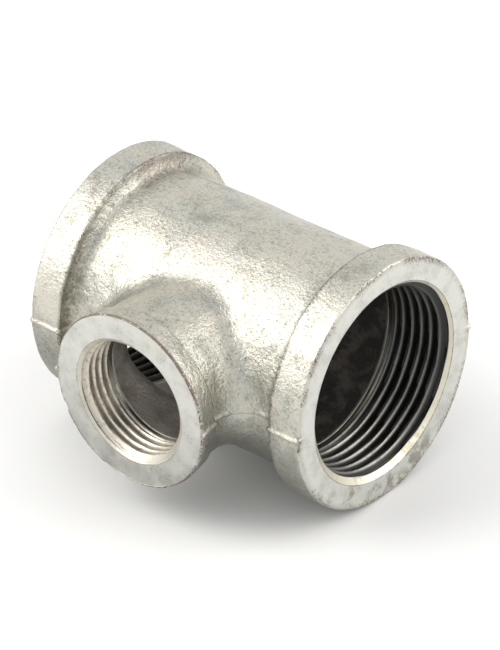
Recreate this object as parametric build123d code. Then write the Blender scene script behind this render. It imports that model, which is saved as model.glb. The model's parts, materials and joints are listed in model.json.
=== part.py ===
from build123d import *
from build123d.topology import SkipClean
import os
from math import radians, tan

# Reducing tee, 1 1/4 x 3/4, malleable iron, galvanised. Millimetres.
# The run lies along X, the branch points along -Y, +Z is up. The origin is where the two axes cross,
# so the mould's parting plane is Z = 0.

# Overall sizes
run_half_length = 34.5          # axes' crossing to either run face
branch_length = 36.0            # axes' crossing to the branch face

# Cored hollow between the threads
run_chamber_radius = 20.0
branch_chamber_radius = 12.6
inner_crotch_fillet = 4.0       # where the two hollows run into each other

# Outer form of the run
run_wall = 3.0                  # iron round the cored hollow
barrel_radius = run_chamber_radius + run_wall
run_band_step = 3.25            # from the barrel up to the band
run_band_radius = barrel_radius + run_band_step
run_band_width = 7.5
run_shoulder_fillet = 2.9       # hollow at the root of the step from band to barrel
run_edge_round = 0.3            # outer corners of the band

# Outer form of the branch
branch_wall = 4.3               # iron round the cored hollow
neck_radius = branch_chamber_radius + branch_wall
branch_band_step = 1.1          # from the neck up to the band
branch_band_back_radius = neck_radius + branch_band_step
branch_band_flare = 0.7         # the band widens towards its face
branch_band_radius = branch_band_back_radius + branch_band_flare
branch_band_width = 4.9
branch_shoulder_fillet = 0.8
branch_edge_round = 0.4
crotch_fillet = 6.5             # where neck and barrel run into each other

# Mould parting line, a low seam all round the casting at Z = 0
seam_height = 0.3
seam_width = 1.1

# Pipe threads, ISO 7-1 Rp: 1 1/4 on the run, 3/4 on the branch
run_major_radius = 41.910 / 2
run_minor_radius = 38.952 / 2
run_pitch = 2.309
run_thread_length = 15.5
branch_major_radius = 26.441 / 2
branch_minor_radius = 24.117 / 2
branch_pitch = 1.814
branch_thread_length = 9.3
thread_flank_angle = 27.5       # half of the 55 degree Whitworth form
thread_flat_share = 1 / 6       # flat left at crest and at root, as a share of the pitch
thread_lead_in = 1.25           # turns that the cutter stands out of the mouth
thread_end_in = 0.3             # turns that the cutter stops short of the thread's end
cutter_overlap = 0.12           # how far the thread cutter reaches inside the bore
thread_backing = 1.2            # wall behind the thread's roots that is turned with it

# Countersink at every mouth, a little wider than the thread is deep
mouth_clearance = 0.35          # radial, over the thread's major radius
mouth_angle = 50.0              # from the axis

# Where the casting is divided into its zones, beyond the last turn of each thread
zone_margin = 1.0
zone_side_margin = 1.0


def shoulder_radius():
    """The fillet at the root of the run's step, limited by the height of the step."""
    return min(run_shoulder_fillet, 0.99 * (run_band_step - run_edge_round))


def run_outline(grow):
    """Half section of the run's outer form, every radius larger by grow, with one side on the X axis."""
    band = run_band_radius + grow
    barrel = barrel_radius + grow
    shoulder = run_half_length - run_band_width
    outline = FilletPolyline(
        (-run_half_length, 0),
        (-run_half_length, band),
        (-shoulder, band),
        (-shoulder, barrel),
        (shoulder, barrel),
        (shoulder, band),
        (run_half_length, band),
        (run_half_length, 0),
        radius=[run_edge_round, run_edge_round, shoulder_radius()]
        + [shoulder_radius(), run_edge_round, run_edge_round],
    )
    return make_face([outline, Line(outline @ 1, outline @ 0)])


def branch_outline(grow):
    """Half section of neck and tapering band, every radius larger by grow, one side on the Y axis."""
    shoulder = branch_length - branch_band_width
    outline = FilletPolyline(
        (0, -branch_length),
        (branch_band_radius + grow, -branch_length),
        (branch_band_back_radius + grow, -shoulder),
        (neck_radius + grow, -shoulder),
        (neck_radius + grow, 0),
        radius=[branch_edge_round, branch_edge_round, branch_shoulder_fillet],
    )
    return make_face([outline, Line(outline @ 1, (0, 0)), Line((0, 0), outline @ 0)])


def crotch_radius():
    """The crotch fillet, limited by the length of plain neck that it has to end on."""
    plain_neck = branch_length - branch_band_width - branch_shoulder_fillet - barrel_radius
    return min(crotch_fillet, 0.95 * plain_neck)


def crossing_edges(body, run_radius, branch_radius):
    """The edges along which a branch cylinder along -Y meets a run cylinder along X."""
    return [
        edge
        for edge in body.edges()
        if edge.bounding_box().max.Y < 0
        and edge.bounding_box().min.Y > -run_radius - seam_height
        and edge.bounding_box().size.Z > branch_radius
        and edge.bounding_box().size.X > branch_radius
    ]


def outer_form():
    """Run and branch joined, with the crotch filleted all round."""
    body = revolve(run_outline(0), Axis.X) + revolve(branch_outline(0), Axis.Y)
    return fillet(crossing_edges(body, barrel_radius, neck_radius), crotch_radius())


def parting_seam():
    """The low seam: a thin plate on the parting plane that stands a little out of the casting."""
    run_half = run_outline(seam_height)
    branch_half = branch_outline(seam_height)
    sheet = run_half + mirror(run_half, about=Plane.XZ)
    sheet += branch_half + mirror(branch_half, about=Plane.YZ)
    corners = [
        corner
        for corner in sheet.vertices()
        if abs(abs(corner.X) - neck_radius - seam_height) < seam_height / 2
        and abs(corner.Y + barrel_radius + seam_height) < seam_height / 2
    ]
    sheet = fillet(corners, crotch_radius() - seam_height)
    return extrude(sheet, seam_width / 2, both=True)


def mouth_radius(major_radius):
    """Radius of the countersink where it meets the face."""
    return major_radius + mouth_clearance


def countersink_depth(major_radius, minor_radius):
    """Depth at which the countersink has narrowed to the thread's crests."""
    return (mouth_radius(major_radius) - minor_radius) / tan(radians(mouth_angle))


def lining_seat(major_radius, thread_length):
    """Room for one threaded lining, along +Z from its mouth at Z = 0."""
    base = (Align.CENTER, Align.CENTER, Align.MIN)
    return Cylinder(major_radius + thread_backing, thread_length, align=base)


def centre_hollow():
    """The cored hollow between the three threads, rounded where run and branch meet."""
    base = (Align.CENTER, Align.CENTER, Align.MIN)
    run_length = 2 * (run_half_length - run_thread_length)
    reach = branch_length - branch_thread_length
    hollow = Plane.YZ * Cylinder(run_chamber_radius, run_length)
    hollow += Plane.ZX.reverse() * Cylinder(branch_chamber_radius, reach, align=base)
    crossing = crossing_edges(hollow, run_chamber_radius, branch_chamber_radius)
    return fillet(crossing, inner_crotch_fillet)


def thread_cutter(major_radius, minor_radius, pitch, thread_length):
    """Helical groove of a right-hand thread, along +Z, from outside the mouth at Z = 0."""
    lead = thread_lead_in * pitch
    slope = tan(radians(thread_flank_angle))
    depth = major_radius - minor_radius
    half_mouth = pitch * (1 - thread_flat_share) / 2
    half_inside = half_mouth + cutter_overlap * slope
    half_root = half_mouth - depth * slope
    height = thread_length + lead - thread_end_in * pitch
    path = Helix(pitch=pitch, height=height, radius=minor_radius)
    start = Plane(origin=path @ 0, x_dir=(1, 0, 0), z_dir=path % 0)
    section = start * Polygon(
        (-cutter_overlap, -half_inside),
        (depth, -half_root),
        (depth, half_root),
        (-cutter_overlap, half_inside),
        align=None,
    )
    return Pos(0, 0, -lead) * sweep(section, path=path, is_frenet=True)


def threaded_lining(major_radius, minor_radius, pitch, thread_length):
    """The innermost wall of one port with its thread and countersink, along +Z from its mouth."""
    base = (Align.CENTER, Align.CENTER, Align.MIN)
    lining = Cylinder(major_radius + thread_backing, thread_length, align=base)
    lining -= Cylinder(minor_radius, thread_length, align=base)
    lining -= thread_cutter(major_radius, minor_radius, pitch, thread_length)
    sink_depth = countersink_depth(major_radius, minor_radius)
    return lining - Cone(mouth_radius(major_radius), minor_radius, sink_depth, align=base)


def run_lining():
    """Threaded lining of either run port."""
    return threaded_lining(run_major_radius, run_minor_radius, run_pitch, run_thread_length)


def branch_lining():
    """Threaded lining of the branch port."""
    return threaded_lining(
        branch_major_radius, branch_minor_radius, branch_pitch, branch_thread_length
    )


def lined(wall, mouth, lining):
    """A zone's wall with its lining let in. The lining goes in by quarters whose faces are not merged
    again, so that the thread's crest is a wall of its own in each quarter of each turn."""
    side = branch_length + run_half_length
    corner = Box(side, side, side, align=(Align.MIN, Align.MIN, Align.MIN))
    quarters = [mouth * (lining & (Rot(0, 0, turn) * corner)) for turn in (0, 90, 180, 270)]
    with SkipClean():
        return wall.fuse(*quarters)


# Planes at the three mouths, each with its Z axis pointing into the fitting
right_mouth = Plane(origin=(run_half_length, 0, 0), x_dir=(0, 1, 0), z_dir=(-1, 0, 0))
left_mouth = Plane(origin=(-run_half_length, 0, 0), x_dir=(0, -1, 0), z_dir=(1, 0, 0))
branch_mouth = Plane(origin=(0, -branch_length, 0), x_dir=(1, 0, 0), z_dir=(0, 1, 0))


def casting():
    """The whole casting with its hollows and without its threaded linings."""
    body = outer_form() + parting_seam()
    body -= right_mouth * lining_seat(run_major_radius, run_thread_length)
    body -= left_mouth * lining_seat(run_major_radius, run_thread_length)
    body -= branch_mouth * lining_seat(branch_major_radius, branch_thread_length)
    return body - centre_hollow()


def zone_box(low, high):
    """An axis-parallel box between two corners."""
    size = [top - bottom for bottom, top in zip(low, high)]
    return Pos(*low) * Box(*size, align=(Align.MIN, Align.MIN, Align.MIN))


def zones():
    """The casting divided by planes into its three threaded sockets and its centre."""
    far = 2 * max(run_half_length, branch_length)
    run_cut = run_half_length - run_thread_length - zone_margin
    branch_cut = branch_length - branch_thread_length - zone_margin
    side = branch_band_radius + zone_side_margin
    branch_zone = zone_box((-side, -far, -far), (side, -branch_cut, far))
    right_zone = zone_box((run_cut, -far, -far), (far, far, far))
    left_zone = zone_box((-far, -far, -far), (-run_cut, far, far))
    body = casting()
    trunk = body - branch_zone
    return {
        "right_run_socket": lined(trunk & right_zone, right_mouth, run_lining()),
        "left_run_socket": lined(trunk & left_zone, left_mouth, run_lining()),
        "branch_socket": lined(body & branch_zone, branch_mouth, branch_lining()),
        "centre_body": trunk - right_zone - left_zone,
    }


def main():
    os.makedirs("parts", exist_ok=True)
    for name, shape in zones().items():
        export_step(shape, f"parts/{name}.step")


main()
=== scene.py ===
import itertools
import json
from math import cos, pi, radians, sin, tan

import bpy
import numpy as np
from mathutils import Matrix, Vector


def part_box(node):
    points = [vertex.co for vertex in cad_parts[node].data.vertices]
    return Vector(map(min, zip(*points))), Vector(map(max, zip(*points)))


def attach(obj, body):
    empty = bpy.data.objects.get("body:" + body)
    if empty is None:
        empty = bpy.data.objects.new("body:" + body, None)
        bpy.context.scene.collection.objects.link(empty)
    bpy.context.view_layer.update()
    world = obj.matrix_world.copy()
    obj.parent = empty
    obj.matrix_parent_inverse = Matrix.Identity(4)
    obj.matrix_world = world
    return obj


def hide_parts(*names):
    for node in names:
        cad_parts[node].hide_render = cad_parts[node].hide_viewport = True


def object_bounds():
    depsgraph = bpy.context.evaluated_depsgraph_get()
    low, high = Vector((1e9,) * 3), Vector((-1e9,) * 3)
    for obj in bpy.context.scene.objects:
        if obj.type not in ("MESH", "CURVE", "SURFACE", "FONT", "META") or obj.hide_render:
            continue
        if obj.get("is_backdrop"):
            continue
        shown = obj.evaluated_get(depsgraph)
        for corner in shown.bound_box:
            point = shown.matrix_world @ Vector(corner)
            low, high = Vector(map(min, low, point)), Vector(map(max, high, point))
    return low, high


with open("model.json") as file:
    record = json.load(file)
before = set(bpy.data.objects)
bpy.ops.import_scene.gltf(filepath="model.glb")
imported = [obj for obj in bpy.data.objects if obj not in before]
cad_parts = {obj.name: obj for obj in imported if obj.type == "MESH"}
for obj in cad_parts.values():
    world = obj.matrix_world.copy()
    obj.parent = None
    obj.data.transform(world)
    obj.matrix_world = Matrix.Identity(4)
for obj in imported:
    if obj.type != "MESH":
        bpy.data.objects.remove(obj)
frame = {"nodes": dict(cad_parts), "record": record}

bl_info = {
    "name": "Galvanised Reducing Tee",
    "version": (1, 0, 0),
    "blender": (4, 5, 0),
    "location": "View3D > Sidebar > Tee",
    "description": "A cast, galvanised pipe tee with cut threads in its three ports, and a studio for it",
    "category": "Object",
}

MM = 0.001
CAD_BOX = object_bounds()
RUN_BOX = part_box("right_run_socket")
BRANCH_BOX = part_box("branch_socket")
CENTRE_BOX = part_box("centre_body")
MOUNTS = {mount["name"]: mount for mount in frame["record"]["mounts"]}
RUN_CREST = MOUNTS["right_run_thread"]["dims"]["r_mm"] * MM
BRANCH_CREST = MOUNTS["branch_thread"]["dims"]["r_mm"] * MM
NODES = sorted(frame["nodes"])

# What the casting's skin is like at each point, kept with the mesh for the finish to read: turned flat, cut
# as a thread, left rough by a core, on a corner, low (in a hollow, a thread's groove or facing down, where
# the finish paints shade), countersunk
MARKS = ("faced", "threaded", "cored", "corner", "low", "sunk")

ONE_MERGED_POINT = 1e-4 * MM
SHARP_ANGLE = radians(36)

# Points round each loop of the skin, and rows of points to each turn of a thread
OUTER_TURNS = 252
RUN_THREAD_TURNS = 180
BRANCH_THREAD_TURNS = 156
CORE_TURNS = 144
THREAD_ROWS_PER_TURN = 12

# Turns at which the crowding of points at the parting plane is summed
FINE_TURNS = 7201

# The window in the run that the branch grows out of: how far it reaches to each side of the branch's
# axis, its rows, and the rows of the apron, the saddle and the neck that lead from its edge to the branch
OUTER_WINDOW, CORE_WINDOW = radians(57), radians(47)
OUTER_WINDOW_ROWS, CORE_WINDOW_ROWS = 77, 31
OUTER_ROWS, CORE_ROWS = (8, 16, 11), (4, 11, 10)

# Outer part of the end faces, from the band's corner inwards, and the round at the mouths' edges
RUN_FACE_RIM = 3.6 * MM
BRANCH_FACE_RIM = 3.4 * MM
MOUTH_ROUND = 0.16 * MM
MOUTH_ROUND_DEPTH = 0.1 * MM

# How many turns before its end a thread begins to run out, and how many before it has gone
RUN_OUT = (1.4, 0.1)

# Gaps between a thread's end and the cored hollow's rim, closed by a ring of triangles
RUN_CORE_GAP = 0.5 * MM
BRANCH_CORE_GAP = 0.4 * MM

# The cast skin: height, cell and seed of its three sizes of lumps, and the share left on cut surfaces
CAST_LUMPS = ((0.15 * MM, 6.0 * MM, 11), (0.06 * MM, 2.3 * MM, 12), (0.035 * MM, 1.1 * MM, 13))
LEFT_ON_CUTS = 0.05

# Distance from the run's axis over which the branch's end begins, for its higher seam and its chips
BRANCH_END = (29 * MM, 32 * MM)
HIGHER_SEAM_ON_BRANCH = 0.6
SEAM_UNEVENNESS = 0.45
CHIP_DEPTH = 0.36 * MM
NICK_DEPTH = 0.08 * MM

# The studio: the floor's radius and corners, and each softbox's side, distance and direction
FLOOR_RADIUS = 3.0
FLOOR_CORNERS = 96
KEY_BOX = (0.62, 0.9, Vector((-0.55, -0.55, 0.63)))
FILL_BOX = (1.2, 1.6, Vector((0.7, 0.5, 0.5)))
WARM_WHITE = (1.0, 0.985, 0.94)


def length(name, description, default):
    """A size in metres, shown in the user's own unit."""
    return bpy.props.FloatProperty(
        name=name,
        description=description,
        default=default,
        min=0,
        subtype="DISTANCE",
        unit="LENGTH",
        precision=5,
    )


def angle(name, description, degrees):
    """An angle, kept in radians and shown in degrees."""
    return bpy.props.FloatProperty(
        name=name, description=description, default=radians(degrees), subtype="ANGLE", unit="ROTATION"
    )


def share(name, description, default, highest=1.0):
    """A plain number from nought up."""
    return bpy.props.FloatProperty(name=name, description=description, default=default, min=0, max=highest)


def colour(name, description, default):
    """A linear colour."""
    return bpy.props.FloatVectorProperty(
        name=name, description=description, default=default, size=3, min=0, max=1, subtype="COLOR"
    )


class TeeSizes(bpy.types.PropertyGroup):
    run_half: length("Run half length", "Axes' crossing to either run face", RUN_BOX[1].x)
    branch_reach: length("Branch length", "Axes' crossing to the branch face", -BRANCH_BOX[0].y)
    band_radius: length("Run band radius", "Outside of the band round each run mouth", RUN_BOX[1].z)
    band_width: length("Run band width", "Width of the band round each run mouth", 7.5 * MM)
    barrel_radius: length("Barrel radius", "Outside of the run between its bands", CENTRE_BOX[1].z)
    band_edge: length("Band front edge", "Round on the corner between face and band", 0.32 * MM)
    band_back_edge: length("Band back edge", "Round on the corner between band and shoulder", 0.3 * MM)
    shoulder_fillet: length("Shoulder fillet", "Hollow at the root of the run's shoulders", 2.9 * MM)
    neck_radius: length("Neck radius", "Outside of the branch behind its band", 16.9 * MM)
    branch_band_radius: length("Branch band radius", "Outside of the branch band at its face", 18.7 * MM)
    branch_band_back: length("Branch band back", "Outside of the branch band at its back", 18.05 * MM)
    branch_band_width: length("Branch band width", "Width of the band round the branch mouth", 4.9 * MM)
    branch_edge: length("Branch edge", "Round on the branch band's two corners", 0.38 * MM)
    branch_fillet: length("Branch fillet", "Fillet behind the branch band", 0.65 * MM)
    crotch: length("Crotch fillet", "Fillet between the barrel and the neck", 6.5 * MM)
    run_crest: length("Run crest radius", "Radius at the run threads' crests", RUN_CREST)
    run_depth: length("Run thread depth", "Height of the run threads", 1.479 * MM)
    run_pitch: length("Run pitch", "Pitch of the run threads", 2.309 * MM)
    run_thread: length("Run thread length", "Mouth to the end of a run thread", 15.5 * MM)
    branch_crest: length("Branch crest radius", "Radius at the branch thread's crests", BRANCH_CREST)
    branch_depth: length("Branch thread depth", "Height of the branch thread", 1.162 * MM)
    branch_pitch: length("Branch pitch", "Pitch of the branch thread", 1.814 * MM)
    branch_thread: length("Branch thread length", "Mouth to the end of the branch thread", 9.3 * MM)
    mouth_gap: length("Mouth clearance", "How far a countersink reaches past the thread's roots", 0.35 * MM)
    sink_angle: angle("Countersink angle", "Angle of the countersinks from the axis", 50)
    chamber_radius: length("Run chamber radius", "Cored hollow between the run threads", 20.0 * MM)
    branch_chamber: length("Branch chamber radius", "Cored hollow behind the branch thread", 12.6 * MM)
    inner_crotch: length("Inner crotch fillet", "Round where the two hollows meet", 4.0 * MM)
    seam_height: length("Seam height", "How far the parting seam stands out", 0.34 * MM)
    seam_width: length("Seam half width", "Half width of the parting seam", 0.42 * MM)
    knob: share("Seam knobs", "How much higher the seam stands on the bands' corners", 0.7, 4.0)
    mismatch: length("Mould mismatch", "How much fuller the lower half of the mould was", 0.18 * MM)
    lumps: share("Lumpiness", "How uneven the cast skin is, 1 as it came from the mould", 1.0, 4.0)


class TeeFinish(bpy.types.PropertyGroup):
    zinc: colour("Zinc", "Bright zinc skin", (0.585, 0.56, 0.49))
    dull_zinc: colour("Dull zinc", "Weathered, greyer zinc", (0.38, 0.39, 0.36))
    turned: colour("Turned face", "Zinc on the turned end faces", (0.665, 0.66, 0.62))
    crest: colour("Thread crest", "Bare iron on the threads' crests", (0.12, 0.12, 0.11))
    branch_cut: colour("Branch thread", "Zinc left in the branch's thread", (0.62, 0.575, 0.49))
    # groove_shade is painted shade in the threads' grooves, darker than the oily iron of the crests
    groove_shade: colour("Thread groove", "Oily iron in the threads' grooves", (0.042, 0.042, 0.042))
    core: colour("Core skin", "Inside, where the sand core was", (0.27, 0.245, 0.215))
    # grime_and_shade is dirt for the specks and pits, and painted shade in low places, underneath and on the
    # faces' lower parts
    grime_and_shade: colour("Grime", "Dark specks and dirt in low places", (0.07, 0.064, 0.048))
    stain: colour("Stain", "Brown stains on the skin", (0.28, 0.25, 0.20))
    rust: colour("Rust", "Rust specks on worn corners", (0.10, 0.062, 0.042))
    cream: colour("Countersink", "Yellowed zinc on the countersinks", (0.62, 0.585, 0.47))
    # soot_and_shade is soot in patches, and painted shade over the core's right-hand half
    soot_and_shade: colour("Soot", "Blackened core skin", (0.030, 0.025, 0.022))
    moss: colour("Green dirt", "Dirt beside the left-hand band", (0.20, 0.205, 0.13))
    cool: colour("Cool zinc", "Bluer zinc, in broad patches", (0.525, 0.545, 0.50))
    roughness: share("Roughness", "Roughness of the zinc skin", 0.42)
    grain: share("Grain", "Height of the sandy grain, 1 as cast", 1.0, 4.0)


class TeeStudio(bpy.types.PropertyGroup):
    azimuth: angle("Camera azimuth", "Round from the branch towards the right-hand mouth", 41.203)
    elevation: angle("Camera elevation", "Above the level", 33.103)
    roll: angle("Camera roll", "Turn about the line of sight", -1.206)
    distance: length("Camera distance", "From the aim point", 0.9862)
    drop: length("Aim drop", "How far below the axes' crossing the camera aims", 0.6 * MM)
    lens: bpy.props.FloatProperty(
        name="Lens", description="Focal length on a 36 mm frame", default=276.0, min=1
    )
    sky: share("Surrounding light", "Strength of the white surroundings", 1.05, 10.0)
    key: share("Key light", "Radiance of the large softbox", 4.8, 100.0)
    fill: share("Fill light", "Radiance of the softbox behind on the right", 3.2, 100.0)
    floor: colour("Floor", "Pale floor", (0.74, 0.74, 0.74))


# ---------------------------------------------------------------- surfaces


class Skin:
    """Patches of surface that share their edges, joined into one closed skin."""

    def __init__(self):
        self.points = []
        self.marks = []
        self.quads = []
        self.triangles = []
        self.count = 0

    def add(self, points, faces, marks):
        """One patch: points in rows of three, faces in rows of three or four, marks by name."""
        points = points.reshape(-1, 3)
        columns = [np.broadcast_to(marks.get(name, 0.0), len(points)) for name in MARKS]
        kept = self.quads if faces.shape[1] == 4 else self.triangles
        kept.append(faces + self.count)
        self.points.append(points)
        self.marks.append(np.stack(columns, axis=1))
        self.count += len(points)

    def tube(self, points, inside, marks, hole=None):
        """Rows of points round a loop: each cell of the grid is a face, bar those in the hole, which is
        given as its first and last row and the number of columns to each side of the first column.
        Marks are given by row, or by row and column."""
        rows, loop = points.shape[:2]
        row, column = np.meshgrid(np.arange(rows - 1), np.arange(loop), indexing="ij")
        beside = (column + 1) % loop
        here, above = row * loop, (row + 1) * loop
        faces = [here + column, here + beside, above + beside, above + column]
        faces = np.stack(faces, axis=-1).reshape(-1, 4)
        if hole:
            first, last, half = hole
            open_cells = (row >= first) & (row < last) & ((column < half) | (column >= loop - half))
            faces = faces[~open_cells.ravel()]
        spread = {}
        for name, value in marks.items():
            value = np.asarray(value, float)
            value = value[:, None] if value.ndim == 1 else value
            spread[name] = np.broadcast_to(value, (rows, loop)).ravel()
        self.add(points, faces[:, ::-1] if inside else faces, spread)

    def zipper(self, lower, lower_turn, upper, upper_turn, inside, marks):
        """Triangles between two loops with different numbers of points. The points are taken in the order
        of their turns; each makes a triangle with the one before it on its loop and the last one passed
        on the other."""
        order = np.argsort(np.concatenate([lower_turn, upper_turn]), kind="stable")
        from_lower = order < len(lower)
        passed_lower = np.cumsum(from_lower)
        passed_upper = np.cumsum(~from_lower)
        here_lower = (passed_lower - 1) % len(lower)
        here_upper = (passed_upper - 1) % len(upper) + len(lower)
        last_lower = (passed_lower - 2) % len(lower)
        last_upper = (passed_upper - 2) % len(upper) + len(lower)
        on_lower = np.stack([last_lower, here_lower, here_upper], axis=1)
        on_upper = np.stack([last_upper, here_lower, here_upper], axis=1)
        faces = np.where(from_lower[:, None], on_lower, on_upper)
        self.add(np.concatenate([lower, upper]), faces[:, ::-1] if inside else faces, marks)

    def joined(self):
        """The whole skin: patches' common points made one, with the mean of their marks."""
        points = np.concatenate(self.points)
        marks = np.concatenate(self.marks)
        rounded = np.round(points / ONE_MERGED_POINT).astype(np.int64)
        _, first, place = np.unique(rounded, axis=0, return_index=True, return_inverse=True)
        place = place.ravel()
        times = np.bincount(place)
        marks = np.stack([np.bincount(place, column) / times for column in marks.T], axis=1)
        quads, triangles = place[np.concatenate(self.quads)], place[np.concatenate(self.triangles)]
        used = np.unique(np.concatenate([quads.ravel(), triangles.ravel()]))
        renumbered = np.zeros(len(first), np.int64)
        renumbered[used] = np.arange(len(used))
        return points[first][used], marks[used], renumbered[quads], renumbered[triangles]


def normals(points, quads, triangles):
    """Outward direction at each point: the sum of the face normals round it, made one long."""
    total = np.zeros_like(points)
    for faces in (quads, triangles):
        corner = points[faces]
        across = np.cross(corner[:, 2] - corner[:, 0], corner[:, -1] - corner[:, 1])
        if faces.shape[1] == 3:
            across = np.cross(corner[:, 1] - corner[:, 0], corner[:, 2] - corner[:, 0])
        for side in range(faces.shape[1]):
            for axis in range(3):
                total[:, axis] += np.bincount(faces[:, side], across[:, axis], len(points))
    return total / np.linalg.norm(total, axis=1, keepdims=True)


def lumps(points, cell, seed):
    """Smooth random values from -1 to 1: random numbers on a cubic lattice of that cell, blended between
    the eight corners round a point by 3t^2 - 2t^3 along each axis."""
    place = points / cell
    base = np.floor(place).astype(int)
    part = place - base
    part = part * part * (3 - 2 * part)
    base -= base.min(axis=0)
    lattice = np.random.default_rng(seed).uniform(-1, 1, base.max(axis=0) + 2)
    total = np.zeros(len(points))
    for corner in itertools.product((0, 1), repeat=3):
        weight = np.prod(np.where(corner, part, 1 - part), axis=1)
        i, j, k = (base + corner).T
        total += weight * lattice[i, j, k]
    return total


def step(value, low, high):
    """0 below low, 1 above high, 3t^2 - 2t^3 between."""
    t = np.clip((value - low) / (high - low), 0, 1)
    return t * t * (3 - 2 * t)


# ---------------------------------------------------------------- the tee's lines


def crowded_turns(count, crowding=3.4, width=0.07):
    """Turns round a loop, from 0, packed closer at the parting plane: equal shares of the running sum of
    1 + crowding * exp(-(sin turn / width)^2)."""
    fine = np.linspace(0, 2 * pi, FINE_TURNS)
    density = 1 + crowding * np.exp(-((np.sin(fine) / width) ** 2))
    running = np.concatenate([[0], np.cumsum((density[1:] + density[:-1]) / 2)])
    return np.interp(np.arange(count) / count * running[-1], running, fine)


def even_turns(count):
    """Turns round a loop, from 0, all the same distance apart."""
    return np.arange(count) / count * 2 * pi


def between(start, end, rows):
    """Rows of values from start to end, both included, at equal steps."""
    part = np.linspace(0, 1, rows)[:, None]
    return start * (1 - part) + end * part


def line(start, end, count):
    """Points from start towards end, which isn't one of them."""
    t = np.arange(count)[:, None] / count
    return np.array(start) * (1 - t) + np.array(end) * t


def arc(centre, radius, start, end, count):
    """Points round centre from start degrees towards end degrees, without the last."""
    turn = np.radians(start + (end - start) * np.arange(count) / count)
    return np.array(centre) + radius * np.stack([np.cos(turn), np.sin(turn)], axis=1)


def about_run(along, radius, turn):
    """Points round the run's axis: along it, that far from it, turned from the branch's side upwards."""
    along, radius, turn = np.broadcast_arrays(along, radius, turn)
    return np.stack([along, -radius * np.cos(turn), radius * np.sin(turn)], axis=-1)


def about_branch(along, radius, turn):
    """Points round the branch's axis: out along it, that far from it, turned from the right upwards."""
    along, radius, turn = np.broadcast_arrays(along, radius, turn)
    return np.stack([radius * np.cos(turn), -along, radius * np.sin(turn)], axis=-1)


def run_on(pieces):
    """Pieces of outline run on into one: its points, and the corner, low and faced marks of each."""
    counts = [len(piece[0]) for piece in pieces]
    marks = np.repeat([piece[1:] for piece in pieces], counts, axis=0).astype(float)
    return np.concatenate([piece[0] for piece in pieces]), *marks.T


def outer_run_line(size):
    """Half outline of the right-hand end, (along, radius), from its face's outer part to the barrel, with
    its marks: face, corner, band, corner, step and the hollow at the step's root."""
    front = size.run_half
    back = front - size.band_width
    band, edge, rear = size.band_radius, size.band_edge, size.band_back_edge
    hollow = size.shoulder_fillet
    foot = size.barrel_radius + hollow
    # The low marks give painted shade on the corners, the step and the hollow at the step's root
    return run_on([
        (line((front, band - RUN_FACE_RIM), (front, band - edge), 3), 0, 0, 1),
        (arc((front - edge, band - edge), edge, 0, 90, 5), 1, 0.2, 0.3),
        (line((front - edge, band), (back + rear, band), 12), 0, 0, 0),
        (arc((back + rear, band - rear), rear, 90, 180, 4), 0.9, 0.7, 0),
        (line((back, band - rear), (back, foot), 1), 0, 0.5, 0),
        (arc((back - hollow, foot), hollow, 0, -30, 3), 0, 0.1, 0),
        (arc((back - hollow, foot), hollow, -30, -90, 6), 0, 0.3, 0),
    ])


def branch_line(size):
    """Half outline of the branch, (along, radius), from the neck's end to its face, with its marks: the
    fillet behind the band, corner, flared band, corner and face."""
    face = size.branch_reach
    back = face - size.branch_band_width
    edge, root = size.branch_edge, size.branch_fillet
    neck, rear, band = size.neck_radius, size.branch_band_back, size.branch_band_radius
    # The low mark gives painted shade in the fillet behind the band
    return run_on([
        (arc((back - root, neck + root), root, -90, 0, 4), 0, 0.5, 0),
        (arc((back + edge, rear - edge), edge, 180, 90, 4), 0.5, 0, 0),
        (line((back + edge, rear), (face - edge, band), 9), 0, 0, 0),
        (arc((face - edge, band - edge), edge, 90, 0, 5), 1, 0, 0.3),
        (line((face, band - edge), (face, band - BRANCH_FACE_RIM), 4), 0, 0, 1),
    ])


def window_edge(along, turn, half):
    """The edge of the window in the run that the branch grows out of, point by point from the right-hand
    side upwards: (along, turn) of the grid's own points."""
    up, down = turn[: half + 1], turn[-half:] - 2 * pi
    right, left = along[0], along[-1]
    sides = [
        (np.full(half, right), up[:-1]),
        (along[:-1], np.full(len(along) - 1, up[-1])),
        (np.full(2 * half, left), np.concatenate([up[:0:-1], [0], down[:0:-1]])),
        (along[:0:-1], np.full(len(along) - 1, down[0])),
        (np.full(half, right), down),
    ]
    return tuple(np.concatenate([side[k] for side in sides]) for k in (0, 1))


def branch_turns(along, turn, run_radius, fillet):
    """Turn t about the branch's axis of each point of the window's edge: where its ray meets the line on
    which the crotch fillet leaves the run, an oval (r + f) / r times as long as it is high, so that
    tan t = (r + f) sin turn / along."""
    return np.arctan2((run_radius + fillet) * np.sin(turn), along)


def crotch_points(turn, run_radius, neck_radius, fillet, share_of_turn):
    """A ball of the fillet's radius rolls round in the corner of run and neck. Its centre is at
    ((n + f) cos t, -sqrt((r + f)^2 - ((n + f) sin t)^2), (n + f) sin t), and the skin is the shorter arc
    between its two points of contact, taken at that share of its turn from the run."""
    reach = neck_radius + fillet
    centre_y = -np.sqrt((run_radius + fillet) ** 2 - (reach * np.sin(turn)) ** 2)
    centre = np.stack([reach * np.cos(turn), centre_y, reach * np.sin(turn)], axis=-1)
    pull = run_radius / (run_radius + fillet)
    on_run = centre * [1, pull, pull]
    on_neck = np.stack([neck_radius * np.cos(turn), centre_y, neck_radius * np.sin(turn)], axis=-1)
    start, end = on_run - centre, on_neck - centre
    whole = np.arccos(np.clip(np.sum(start * end, axis=-1) / fillet**2, -1, 1))[..., None]
    part = np.asarray(share_of_turn)[:, None, None]
    arm = (np.sin((1 - part) * whole) * start + np.sin(part * whole) * end) / np.sin(whole)
    return centre + arm


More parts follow.
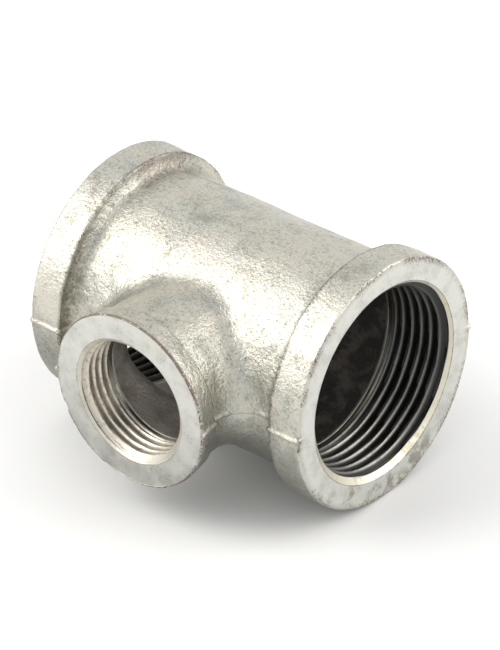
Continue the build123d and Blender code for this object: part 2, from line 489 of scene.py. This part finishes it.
def crossing(edge, radii, neck_end, rows):
    """The skin from the window's edge to the branch, in three patches whose columns stand at the same
    turns: an apron on the run as far as the crotch fillet, the fillet's saddle, and the neck, at equal
    steps from the saddle to neck_end."""
    along, run_turn = edge
    run_radius, neck_radius, fillet = radii
    apron_rows, saddle_rows, neck_rows = rows
    turn = branch_turns(along, run_turn, run_radius, fillet)
    rim = crotch_points(turn, *radii, [0.0])[0]
    rim_turn = np.arctan2(rim[:, 2], -rim[:, 1])
    apron_along = between(along, rim[:, 0], apron_rows)
    apron = about_run(apron_along, run_radius, between(run_turn, rim_turn, apron_rows))
    saddle = crotch_points(turn, *radii, np.linspace(0, 1, saddle_rows))
    neck = about_branch(between(-saddle[-1, :, 1], neck_end, neck_rows), neck_radius, turn)
    return turn, apron, saddle, neck


def thread_form(phase):
    """Height of a rounded Whitworth thread, 0 at the crest inside and 1 at the root: a zigzag one and a half
    times too tall, whose points are rounded off by parabolas that meet its flanks at half their height."""
    zigzag = 1.5 * (4 * np.abs(phase - np.floor(phase) - 0.5) - 1)
    rounded = np.sign(zigzag) * (1 - (1.5 - np.abs(zigzag)) ** 2 / 2)
    return 0.5 + 0.5 * np.where(np.abs(zigzag) < 0.5, zigzag, rounded)


def port(turn, hand, cut, end_radius, size, off_centre=0.0, wear=1.0):
    """Distance inwards, radius and marks, row by row, of a port whose thread has this crest radius, depth,
    pitch and length. The thread turns with the phase distance / pitch + hand * turn / one turn, runs out
    towards its end, and gives way to the countersink, a cone, wherever that is wider. wear is how much the
    mouth's edge counts as a worn corner."""
    crest, depth, pitch, thread = cut
    rows = int(round(thread / pitch * THREAD_ROWS_PER_TURN))
    lip = [0, 0, MOUTH_ROUND_DEPTH]
    depth_in = np.concatenate([lip, np.linspace(0, thread, rows + 1)[1:]])[:, None]
    form = thread_form(depth_in / pitch + hand * turn / (2 * pi))
    full = 1 - step(depth_in, thread - RUN_OUT[0] * pitch, thread - RUN_OUT[1] * pitch)
    radius = end_radius + (crest + depth * form - end_radius) * full
    mouth = crest + depth + size.mouth_gap + off_centre
    cone = mouth - depth_in * tan(size.sink_angle)
    sink = step(cone - radius, -0.1 * MM, 0.1 * MM)
    wall = np.maximum(radius, cone)
    wall[0] += MOUTH_ROUND
    row = np.arange(len(wall))
    # The low mark follows the thread's form, most at the root, for painted shade in the grooves
    marks = {"threaded": 1 - sink, "faced": sink, "low": form * full * (1 - sink)}
    marks["corner"] = wear * (row == 1)
    marks["sunk"] = sink * (row > 0)[:, None]
    return depth_in, wall, marks


# ---------------------------------------------------------------- the casting


def outer_skin(skin, size):
    """Run, crotch, neck and branch band, and the outer part of the three faces."""
    turn = crowded_turns(OUTER_TURNS)
    outline, corner, low, faced = outer_run_line(size)
    join = size.run_half - size.band_width - size.shoulder_fillet
    contact = size.neck_radius + size.crotch
    window = (join + contact) / 2
    middle = np.linspace(window, -window, OUTER_WINDOW_ROWS)
    along = np.concatenate([outline[:, 0], [join], middle, [-join], -outline[::-1, 0]])
    plain = np.full(len(middle) + 2, size.barrel_radius)
    radius = np.concatenate([outline[:, 1], plain, outline[::-1, 1]])
    none = np.zeros(len(plain))
    marks = {}
    for name, value in (("corner", corner), ("low", low), ("faced", faced)):
        marks[name] = np.concatenate([value, none, value[::-1]])
    half = int(np.searchsorted(turn, OUTER_WINDOW))
    first = len(outline) + 1
    body = about_run(along[:, None], radius[:, None], turn)
    skin.tube(body, False, marks, (first, first + len(middle) - 1, half))

    radii = (size.barrel_radius, size.neck_radius, size.crotch)
    outline, corner, low, faced = branch_line(size)
    edge = window_edge(middle, turn, half)
    branch_turn, apron, saddle, neck = crossing(edge, radii, outline[0, 0], OUTER_ROWS)
    band = about_branch(outline[:, :1], outline[:, 1:], branch_turn)
    skin.tube(apron, False, {})
    # Painted shade along the crotch fillet's saddle, as a low mark
    skin.tube(saddle, False, {"low": 0.2 * np.sin(pi * np.linspace(0, 1, len(saddle)))})
    skin.tube(neck, False, {})
    skin.tube(band, False, {"corner": corner, "low": low, "faced": faced})
    return body[0], turn, body[-1], band[-1], branch_turn


def thread_skin(skin, size, right_ring, run_turn, left_ring, branch_ring, branch_turn):
    """The three threaded ports, from the faces' outer parts to the cored hollow. The branch's mouth is
    cut a little off its centre and out of round."""
    run_cut = (size.run_crest, size.run_depth, size.run_pitch, size.run_thread)
    branch_cut = (size.branch_crest, size.branch_depth, size.branch_pitch, size.branch_thread)
    run_thread_turn = even_turns(RUN_THREAD_TURNS)
    ends = []
    for side, ring in ((1, right_ring), (-1, left_ring)):
        depth_in, radius, marks = port(run_thread_turn, -side, run_cut, size.chamber_radius, size)
        wall = about_run(side * (size.run_half - depth_in), radius, run_thread_turn)
        skin.tube(wall, side > 0, marks)
        skin.zipper(wall[0], run_thread_turn, ring, run_turn, side < 0, {"faced": 1.0})
        ends.append(wall[-1])
    turn = even_turns(BRANCH_THREAD_TURNS)
    wander = 0.22 * MM * np.cos(turn + radians(110)) + 0.05 * MM * np.sin(3 * turn)
    depth_in, radius, marks = port(turn, 1, branch_cut, size.branch_chamber, size, wander, 0.5)
    wall = about_branch(size.branch_reach - depth_in, radius, turn)
    skin.tube(wall, False, marks)
    skin.zipper(wall[0], turn, branch_ring, branch_turn % (2 * pi), True, {"faced": 1.0})
    return *ends, run_thread_turn, wall[-1], turn


def core_skin(skin, size, right_ring, left_ring, run_turn, branch_ring, thread_turn):
    """The cored hollow: the outer skin's form over again, smaller and seen from inside."""
    turn = even_turns(CORE_TURNS)
    cored = {"cored": 1.0}
    rim_along = size.run_half - size.run_thread - RUN_CORE_GAP
    window = (rim_along + size.branch_chamber + size.inner_crotch) / 2
    middle = np.linspace(window, -window, CORE_WINDOW_ROWS)
    along = np.concatenate([[rim_along], middle, [-rim_along]])
    wall = about_run(along[:, None], size.chamber_radius, turn)
    half = int(np.searchsorted(turn, CORE_WINDOW))
    skin.tube(wall, True, {"cored": np.ones(len(wall))}, (1, len(middle), half))
    skin.zipper(right_ring, run_turn, wall[0], turn, True, cored)
    skin.zipper(left_ring, run_turn, wall[-1], turn, False, cored)

    radii = (size.chamber_radius, size.branch_chamber, size.inner_crotch)
    top = size.branch_reach - size.branch_thread - BRANCH_CORE_GAP
    edge = window_edge(middle, turn, half)
    branch_turn, apron, saddle, neck = crossing(edge, radii, top, CORE_ROWS)
    for patch in (apron, saddle, neck):
        skin.tube(patch, True, {"cored": np.ones(len(patch))})
    skin.zipper(neck[-1], branch_turn % (2 * pi), branch_ring, thread_turn, True, cored)


def as_cast(points, marks, direction, size):
    """The skin as mould and core left it: lumps of three sizes, the parting seam exp(-(z / width)^2), the
    fuller lower half, a knob where the seam crosses a corner, and chips along the branch's lower edge."""
    faced, threaded, cored, corner = marks.T[:4]
    rough = np.clip(1 - faced - threaded, 0, 1)
    height = sum(tall * lumps(points, cell, seed) for tall, cell, seed in CAST_LUMPS)
    height *= size.lumps * (LEFT_ON_CUTS + (1 - LEFT_ON_CUTS) * rough)
    outside = rough * (1 - cored)
    level = points[:, 2]
    branch_end = step(-points[:, 1], *BRANCH_END)
    uneven = 1 + SEAM_UNEVENNESS * lumps(points, 4.0 * MM, 14)
    higher = 1 + HIGHER_SEAM_ON_BRANCH * branch_end + size.knob * corner
    seam = np.exp(-((level / size.seam_width) ** 2)) * higher
    height += size.seam_height * seam * uneven * outside
    lower_half = step(-level, -0.15 * MM, 0.3 * MM)
    height += size.mismatch * lower_half * outside * (1 - 0.7 * cored)
    lower_edge = corner * branch_end * step(-level, 2 * MM, 13 * MM)
    height -= CHIP_DEPTH * lower_edge * step(lumps(points, 1.6 * MM, 15), -0.1, 0.6)
    height -= NICK_DEPTH * corner * step(lumps(points, 1.3 * MM, 16), 0.2, 0.8)
    return points + direction * height[:, None]


def mesh_object(name, points, marks, quads, triangles):
    """A mesh object at the origin from whole arrays, with its marks as point attributes."""
    mesh = bpy.data.meshes.new(name)
    mesh.from_pydata(points.tolist(), [], quads.tolist() + triangles.tolist())
    mesh.polygons.foreach_set("use_smooth", np.ones(len(mesh.polygons), bool))
    mesh.set_sharp_from_angle(angle=SHARP_ANGLE)
    for label, values in zip(MARKS, marks.T):
        attribute = mesh.attributes.new(label, "FLOAT", "POINT")
        attribute.data.foreach_set("value", np.clip(values, 0, 1).astype(np.float32))
    mesh.update()
    made = bpy.data.objects.new(name, mesh)
    bpy.context.scene.collection.objects.link(made)
    return made


def tee_surface(size):
    """Points, marks and faces of the whole casting. Rough skin that faces down is marked low, for painted
    shade on the underside."""
    skin = Skin()
    right_ring, run_turn, left_ring, branch_ring, branch_turn = outer_skin(skin, size)
    ends = thread_skin(skin, size, right_ring, run_turn, left_ring, branch_ring, branch_turn)
    core_skin(skin, size, *ends)
    points, marks, quads, triangles = skin.joined()
    direction = normals(points, quads, triangles)
    finished = np.clip(marks[:, MARKS.index("faced")] + marks[:, MARKS.index("threaded")], 0, 1)
    # Painted shade: rough skin that faces down joins the low mark, which the finish darkens
    underside_shade = 0.9 * step(-direction[:, 2], -0.1, 0.45) * (1 - finished)
    low = MARKS.index("low")
    marks[:, low] = np.maximum(marks[:, low], underside_shade)
    return as_cast(points, marks, direction, size), marks, quads, triangles


# ---------------------------------------------------------------- finishes


class Signal:
    """A socket that Python's operators work on: each adds a Math node to the socket's tree."""

    def __init__(self, nodes, socket):
        self.nodes = nodes
        self.socket = socket

    def maths(self, operation, *values):
        """A Math node of that operation on values and signals."""
        made = self.nodes.node("ShaderNodeMath", {"operation": operation}, dict(enumerate(values)))
        return Signal(self.nodes, made.outputs[0])

    def __add__(self, other):
        return self.maths("ADD", self, other)

    def __sub__(self, other):
        return self.maths("SUBTRACT", self, other)

    def __rsub__(self, other):
        return self.maths("SUBTRACT", other, self)

    def __mul__(self, other):
        return self.maths("MULTIPLY", self, other)

    __radd__ = __add__
    __rmul__ = __mul__

    def clamped(self):
        """0 below 0, 1 above 1, as it is between."""
        return self.maths("MINIMUM", self.maths("MAXIMUM", self, 0.0), 1.0)

    def rise(self, low, high):
        """0 below low, 1 above high, smooth between; the other way round when low is the higher."""
        inputs = {"Value": self, "From Min": low, "From Max": high}
        made = self.nodes.node("ShaderNodeMapRange", {"interpolation_type": "SMOOTHSTEP"}, inputs)
        return Signal(self.nodes, made.outputs[0])


class NodeBench:
    """Builds one material's nodes."""

    def __init__(self, name):
        self.material = bpy.data.materials.new(name)
        self.material.use_nodes = True
        self.tree = self.material.node_tree
        self.tree.nodes.clear()

    def node(self, kind, settings, inputs):
        """A node of that type: its settings first, then the values or links of its sockets."""
        made = self.tree.nodes.new(kind)
        for name, value in settings.items():
            setattr(made, name, value)
        for name, value in inputs.items():
            value = value.socket if isinstance(value, Signal) else value
            if isinstance(value, bpy.types.NodeSocket):
                self.tree.links.new(value, made.inputs[name])
            else:
                made.inputs[name].default_value = value
        return made

    def mark(self, name):
        """One of the skin's marks."""
        settings = {"attribute_type": "GEOMETRY", "attribute_name": name}
        return Signal(self, self.node("ShaderNodeAttribute", settings, {}).outputs["Fac"])

    def noise(self, where, size, detail=2.0, roughness=0.5):
        """Cloudy values about 0.5, with lumps of that size."""
        inputs = {"Vector": where, "Scale": 1 / size, "Detail": detail, "Roughness": roughness}
        return Signal(self, self.node("ShaderNodeTexNoise", {}, inputs).outputs[0])

    def blend(self, factor, first, second):
        """From the first colour to the second."""
        inputs = {0: factor, 6: with_alpha(first), 7: with_alpha(second)}
        return self.node("ShaderNodeMix", {"data_type": "RGBA"}, inputs).outputs[2]


def with_alpha(value):
    """A colour property as a socket's four numbers; a socket as it is."""
    return value if isinstance(value, bpy.types.NodeSocket) else (*value, 1.0)


def zinc_finish(look):
    """Galvanised iron: sandy zinc outside, smoother zinc on the turned faces, bare oily iron in the run's
    threads, zinc in the branch's and a dull core skin inside, with grime and painted shade in low places and
    underneath, painted shade on the faces' lower parts, in the threads' grooves and in the core towards the
    right-hand mouth, rust on worn corners, and dirt beside the left-hand band."""
    bench = NodeBench("galvanised_iron_skin")
    where = bench.node("ShaderNodeTexCoord", {}, {}).outputs["Object"]
    apart = bench.node("ShaderNodeSeparateXYZ", {}, {"Vector": where})
    x, y, z = (Signal(bench, apart.outputs[k]) for k in range(3))
    faced, threaded, cored, corner, low, sunk = (bench.mark(name) for name in MARKS)
    broad = bench.noise(where, 14 * MM)
    patch = bench.noise(where, 4 * MM, 4.0, 0.6)
    grain = bench.noise(where, 0.8 * MM, 3.0, 0.62)
    sand = bench.noise(where, 0.38 * MM, 2.0, 0.6)
    blotch = bench.noise(where, 7 * MM, 2.0)
    skin = (1 - faced) * (1 - threaded)

    # Zinc skin: bluer in broad patches, greyer where it is dull and, as painted shade, in low places and
    # underneath, brown and dark in the grain, with more painted shade, broken up like grime, in low places
    # The low mark here adds painted shade to the dull, greyer zinc
    dull = (broad * 0.9 + patch * 0.8 + low * 0.35).rise(0.75, 1.15)
    outside = bench.blend(blotch.rise(0.42, 0.62) * 0.45, look.zinc, look.cool)
    outside = bench.blend(dull * 0.75, outside, look.dull_zinc)
    worn = 0.25 + 0.75 * (patch * 0.6 + broad * 0.4 + z * 4).rise(0.42, 0.64)
    mottle = (sand * 0.6 + grain * 0.4).rise(0.43, 0.62) * worn
    specks = (grain.rise(0.57, 0.70) * worn + sand.rise(0.60, 0.70) * worn).clamped()
    outside = bench.blend(mottle * 0.55, outside, look.stain)
    outside = bench.blend(specks * 0.38, outside, look.grime_and_shade)
    stain = (patch * 0.5 + blotch * 0.5).rise(0.56, 0.68)
    outside = bench.blend(stain * 0.4, outside, look.stain)
    # Painted shade in low places and underneath, broken up like grime
    outside = bench.blend((low * 0.45 * (grain + patch * 0.6)).clamped(), outside, look.grime_and_shade)

    # Turned faces: pale and clouded, with painted shade over the branch's face and low down on every face,
    # yellower on the countersinks, brown low on the run, dark in pits and on the mouths' edges
    turned = bench.blend(patch.rise(0.40, 0.70) * 0.4, look.turned, look.dull_zinc)
    on_branch = (y * -1).rise(34 * MM, 35 * MM)
    # Painted shade: the branch's face darker all over and more so low down, patchy, and every face a little
    # darker low down
    branch_face_shade = on_branch * (0.10 + z.rise(6 * MM, -18 * MM) * (0.1 + 0.5 * patch))
    face_shade = branch_face_shade + z.rise(-21 * MM, -26 * MM) * 0.1
    turned = bench.blend(face_shade * 0.85, turned, look.grime_and_shade)
    turned = bench.blend(sunk * (1 - on_branch * 0.5) * 0.8, turned, look.cream)
    brown = z.rise(-15 * MM, -22 * MM) * (patch * 0.6 + blotch * 0.4).rise(0.48, 0.58)
    turned = bench.blend(brown * 0.7, turned, look.stain)
    pitted = sand.rise(0.62, 0.72) * (0.25 + 0.75 * patch.rise(0.5, 0.6)) + grain.rise(0.64, 0.74) * 0.6
    turned = bench.blend((pitted * 0.6 + corner * sunk * 0.65).clamped(), turned, look.grime_and_shade)

    # Threads: painted shade in the grooves over the oily iron, crests a little brighter low down, zinc left
    # on the branch's first turns
    near_mouth = (y * -1).rise(25 * MM, 31 * MM)
    crest = bench.blend(z.rise(-6 * MM, -18 * MM) * 0.25, look.crest, look.zinc)
    # Painted shade in the grooves: the low mark takes the crests to the groove colour
    cut = bench.blend(low.rise(0.03, 0.4), crest, look.groove_shade)
    cut = bench.blend(near_mouth * (1 - low * 0.35), cut, look.branch_cut)
    cut = bench.blend(grain.rise(0.5, 0.7) * 0.4, cut, look.grime_and_shade)

    # Core skin: painted shade over its right-hand half, towards the right-hand mouth, and soot in patches
    sooted_and_shaded = (patch.rise(0.35, 0.7) * 0.4 + x.rise(-2 * MM, 8 * MM) * 0.8).clamped()
    inside = bench.blend(sooted_and_shaded, look.core, look.soot_and_shade)

    # All of them together, then rust on the corners, most on the branch's front edge
    base = bench.blend(faced, outside, turned)
    base = bench.blend(threaded, base, cut)
    base = bench.blend(cored, base, inside)
    worn_edge = z.rise(4 * MM, 12 * MM) * 0.16 + z.rise(-6 * MM, -13 * MM) * 0.1
    worn_edge = worn_edge * (y * -1).rise(34.5 * MM, 35.6 * MM)
    rust = corner * (sand + worn_edge).rise(0.44, 0.56) * (patch + worn_edge).rise(0.42, 0.54)
    base = bench.blend(rust * 0.85, base, look.rust)

    # Beside the left-hand band, at the step's root: green dirt in front and rust on top
    beside_band = (x * -1).rise(23.6 * MM, 25.6 * MM) * (x * -1).rise(27.3 * MM, 26.8 * MM)
    in_front, above = (y * -1).rise(17 * MM, 21 * MM), z.rise(-2 * MM, 1 * MM)
    mossy = beside_band * in_front * above * (grain + patch).rise(0.85, 1.1)
    base = bench.blend(mossy * 0.55, base, look.moss)
    on_top = (z * 0.5 + grain * 8 * MM).rise(13 * MM, 16 * MM)
    crevice = beside_band * y.rise(-4 * MM, -1 * MM) * on_top
    base = bench.blend(crevice * 0.45, base, look.rust)

    rough = look.roughness + (patch - 0.5) * 0.25 + (grain - 0.5) * 0.2
    rough = rough + faced * 0.08 - threaded * 0.06 + cored * 0.2
    metal = (1 - cored * 0.45 - rust * 0.5 - specks * 0.15 * skin).clamped()
    coarse = 0.19 * skin + 0.045 * faced + 0.02 * threaded + 0.09 * cored
    height = (grain * coarse + sand * coarse * 0.45 + patch * coarse * 0.7) * look.grain
    bump = bench.node("ShaderNodeBump", {}, {"Strength": 1.0, "Distance": MM, "Height": height})
    inputs = {"Base Color": base, "Roughness": rough.clamped(), "Metallic": metal}
    inputs["Normal"] = bump.outputs[0]
    shader = bench.node("ShaderNodeBsdfPrincipled", {}, inputs)
    bench.node("ShaderNodeOutputMaterial", {}, {"Surface": shader.outputs[0]})
    return bench.material


def floor_finish(look):
    """Matte pale floor."""
    bench = NodeBench("studio_floor")
    inputs = {"Base Color": with_alpha(look.floor), "Roughness": 0.9, "Specular IOR Level": 0.1}
    shader = bench.node("ShaderNodeBsdfPrincipled", {}, inputs)
    bench.node("ShaderNodeOutputMaterial", {}, {"Surface": shader.outputs[0]})
    return bench.material


# ---------------------------------------------------------------- operators


class TEE_OT_casting(bpy.types.Operator):
    """Build the galvanised casting with its three threaded ports"""

    bl_idname = "tee.casting"
    bl_label = "Build Casting"

    def execute(self, context):
        casting = mesh_object("tee_casting", *tee_surface(context.scene.tee_sizes))
        casting.data.materials.append(zinc_finish(context.scene.tee_finish))
        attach(casting, "root")
        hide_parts(*NODES)
        return {"FINISHED"}


class TEE_OT_stage(bpy.types.Operator):
    """Set up the pale floor, the soft studio light and the camera"""

    bl_idname = "tee.stage"
    bl_label = "Build Stage"

    def execute(self, context):
        look = context.scene.tee_studio
        self.floor(look)
        self.lights(context.scene, look)
        self.camera(context.scene, look)
        return {"FINISHED"}

    def floor(self, look):
        """A round floor under the casting: points at its radius times (cos t, sin t)."""
        turn = even_turns(FLOOR_CORNERS)
        under = np.full(len(turn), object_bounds()[0].z)
        rim = np.stack([FLOOR_RADIUS * np.cos(turn), FLOOR_RADIUS * np.sin(turn), under], axis=1)
        mesh = bpy.data.meshes.new("floor")
        mesh.from_pydata(rim.tolist(), [], [list(range(len(turn)))])
        mesh.materials.append(floor_finish(look))
        floor = bpy.data.objects.new("floor", mesh)
        bpy.context.scene.collection.objects.link(floor)
        floor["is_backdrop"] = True

    def lights(self, scene, look):
        """White surroundings, a large softbox high on the left in front, a weak one behind on the right."""
        world = bpy.data.worlds.new("white_room")
        world.use_nodes = True
        background = world.node_tree.nodes["Background"]
        background.inputs["Color"].default_value = (1.0, 1.0, 1.0, 1.0)
        background.inputs["Strength"].default_value = look.sky
        scene.world = world
        self.softbox(scene, "key", look.key, *KEY_BOX)
        self.softbox(scene, "fill", look.fill, *FILL_BOX)

    def softbox(self, scene, name, radiance, size, distance, towards):
        """A square area light of that radiance, its power pi * radiance * size^2, facing the casting."""
        light = bpy.data.lights.new(name, "AREA")
        light.shape = "SQUARE"
        light.size = size
        light.energy = radiance * pi * size**2
        light.color = WARM_WHITE
        lamp = bpy.data.objects.new(name, light)
        lamp.location = towards.normalized() * distance
        lamp.rotation_euler = towards.to_track_quat("Z", "Y").to_euler()
        scene.collection.objects.link(lamp)

    def camera(self, scene, look):
        """Camera on its azimuth and elevation, rolled about its line of sight."""
        around, above = look.azimuth, look.elevation
        back = Vector((sin(around) * cos(above), -cos(around) * cos(above), sin(above)))
        lens = bpy.data.cameras.new("camera")
        lens.sensor_fit = "AUTO"
        lens.sensor_width = 36.0
        lens.lens = look.lens
        lens.clip_end = 20.0
        camera = bpy.data.objects.new("camera", lens)
        turned = back.to_track_quat("Z", "Y").to_matrix() @ Matrix.Rotation(look.roll, 3, "Z")
        place = back * look.distance + Vector((0, 0, -look.drop))
        camera.matrix_world = Matrix.Translation(place) @ turned.to_4x4()
        scene.collection.objects.link(camera)
        scene.camera = camera
        scene.view_settings.view_transform = "Standard"


class TEE_PT_panel(bpy.types.Panel):
    """The casting's sizes and finish, and the studio"""

    bl_idname = "TEE_PT_panel"
    bl_label = "Reducing Tee"
    bl_space_type = "VIEW_3D"
    bl_region_type = "UI"
    bl_category = "Tee"

    def draw(self, context):
        layout = self.layout
        for operator, group in PANEL_ROWS:
            box = layout.box()
            box.operator(operator)
            for owner in group:
                settings = getattr(context.scene, owner)
                for name in settings.__annotations__:
                    box.prop(settings, name)


PANEL_ROWS = (("tee.casting", ("tee_sizes", "tee_finish")), ("tee.stage", ("tee_studio",)))
GROUPS = {"tee_sizes": TeeSizes, "tee_finish": TeeFinish, "tee_studio": TeeStudio}
CLASSES = (*GROUPS.values(), TEE_OT_casting, TEE_OT_stage, TEE_PT_panel)


def register():
    for each in CLASSES:
        bpy.utils.register_class(each)
    for name, group in GROUPS.items():
        setattr(bpy.types.Scene, name, bpy.props.PointerProperty(type=group))


def unregister():
    for name in GROUPS:
        delattr(bpy.types.Scene, name)
    for each in reversed(CLASSES):
        bpy.utils.unregister_class(each)


def main():
    register()
    bpy.ops.tee.casting()
    bpy.ops.tee.stage()
    boxes = {"cad": CAD_BOX, "visual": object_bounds()}
    {name: [list(corner) for corner in box] for name, box in boxes.items()}


if __name__ == "__main__":
    main()
